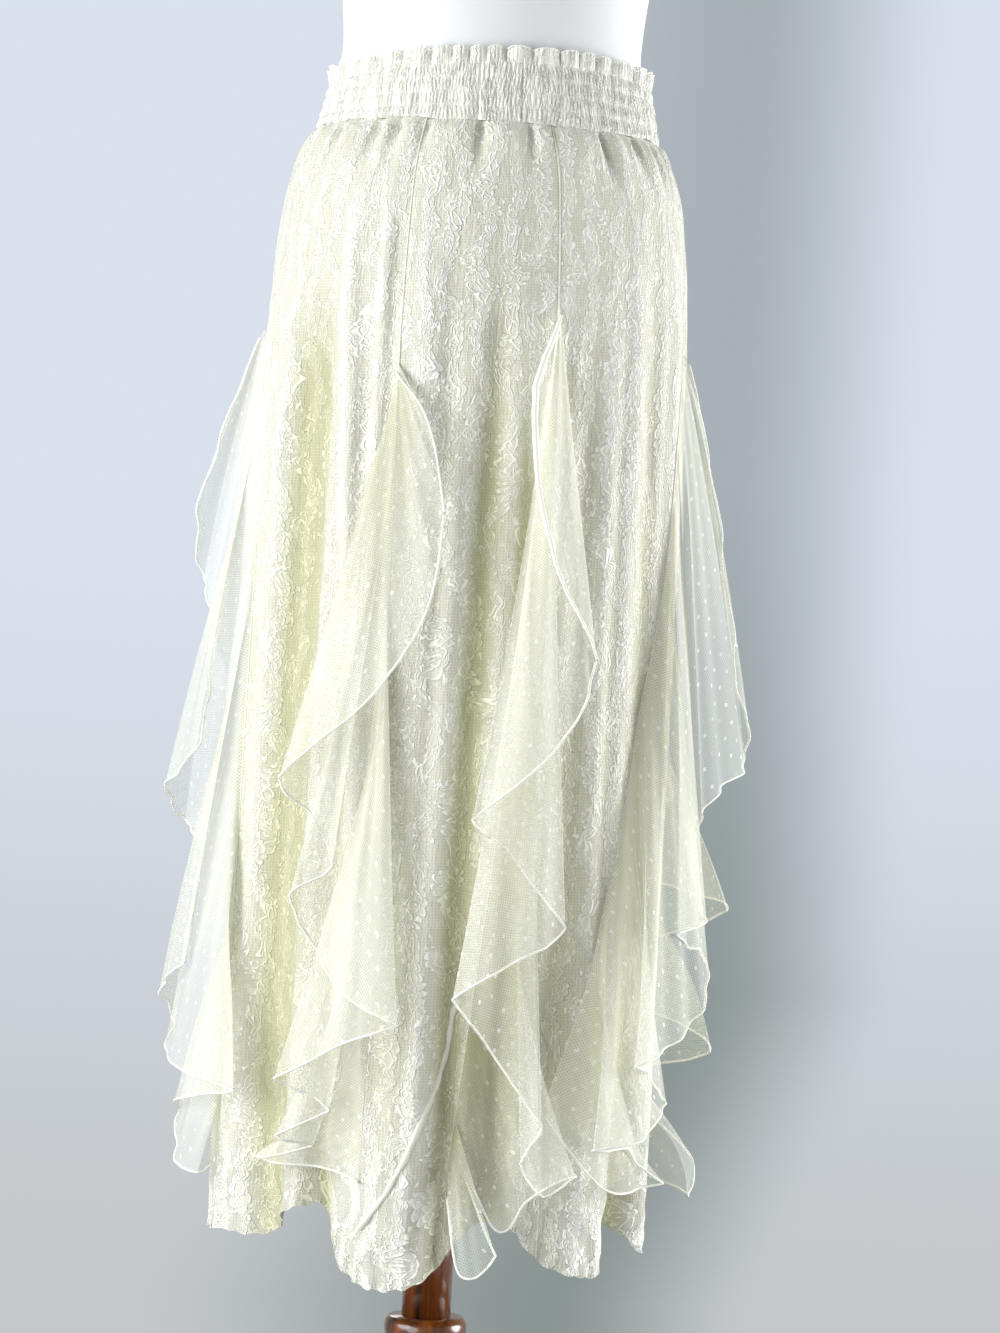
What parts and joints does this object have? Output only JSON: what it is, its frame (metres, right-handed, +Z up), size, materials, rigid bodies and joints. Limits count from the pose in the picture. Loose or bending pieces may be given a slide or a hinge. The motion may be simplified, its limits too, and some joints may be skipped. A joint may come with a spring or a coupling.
{
  "type": "ruffled lace skirt on dress form",
  "caption": "Long ivory lace skirt with a shirred waistband and dotted tulle flounces cascading down its seams, worn on a limbless dress form on a turned wooden stand.",
  "frame": {"origin": "centre of the round base's flat foot, on the floor", "axes": "+Z up along the pole, -Y toward the skirt's front, +X toward the right of a viewer who faces the front"},
  "size_m": [0.4458, 0.4004, 1.568],
  "materials": {
    "lace": "ivory corded floral lace",
    "tulle": "sheer ivory dotted tulle",
    "band": "ivory lace shirred on elastic",
    "form_cover": "smooth matt white",
    "wood": "varnished amber brown"
  },
  "bodies": {
    "root": {"waistband": "band", "gore_front": "lace", "gore_right_front": "lace", "gore_right_back": "lace", "gore_back": "lace", "gore_left_back": "lace", "gore_left_front": "lace", "cascade_left_front": "tulle", "cascade_right_front": "tulle", "cascade_right_side": "tulle", "cascade_right_back": "tulle", "cascade_left_back": "tulle", "cascade_left_side": "tulle", "form_torso": "form_cover", "pole": "wood", "foot_collar": "wood", "base_disc": "wood"}
  },
  "joints": []
}
